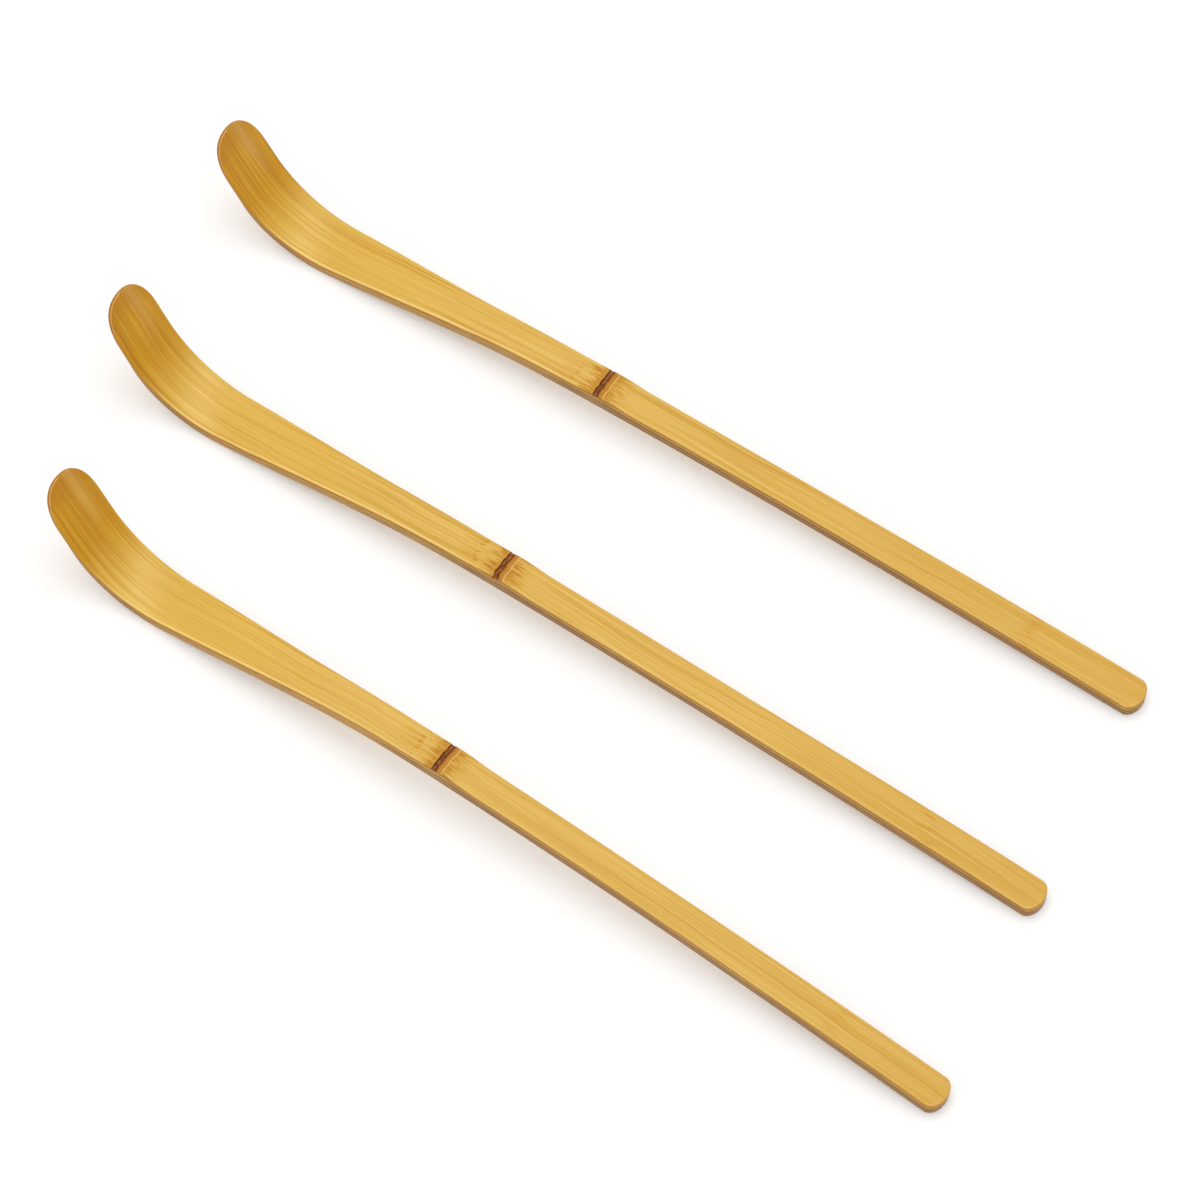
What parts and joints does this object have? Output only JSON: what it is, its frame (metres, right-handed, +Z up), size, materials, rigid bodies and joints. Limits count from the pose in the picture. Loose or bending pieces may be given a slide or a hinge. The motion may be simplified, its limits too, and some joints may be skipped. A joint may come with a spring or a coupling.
{
  "type": "set of bamboo tea scoops",
  "caption": "Row of slim bamboo chashaku tea scoops: a tapered handle, a node with its ridge and groove, and a widened end bent up into a bowl for lifting powdered tea.",
  "frame": {"origin": "centre of the whole row's footprint, on the table", "axes": "+X along the scoops from their tips to their handle ends, +Y across the row to the rear scoop, +Z up"},
  "size_m": [0.1944, 0.0848, 0.0212],
  "materials": {
    "bamboo": "satin, bare golden bamboo with fine straight grain"
  },
  "bodies": {
    "middle_scoop": {"middle_scoop": "bamboo"},
    "rear_scoop": {"rear_scoop": "bamboo"},
    "front_scoop": {"front_scoop": "bamboo"}
  },
  "joints": [
    {"name": "rear_lift", "type": "slide", "parent": "middle_scoop", "child": "rear_scoop", "axis": [0, 0, 1], "range_m": [0, 0.06]},
    {"name": "front_lift", "type": "slide", "parent": "middle_scoop", "child": "front_scoop", "axis": [0, 0, 1], "range_m": [0, 0.06]}
  ]
}
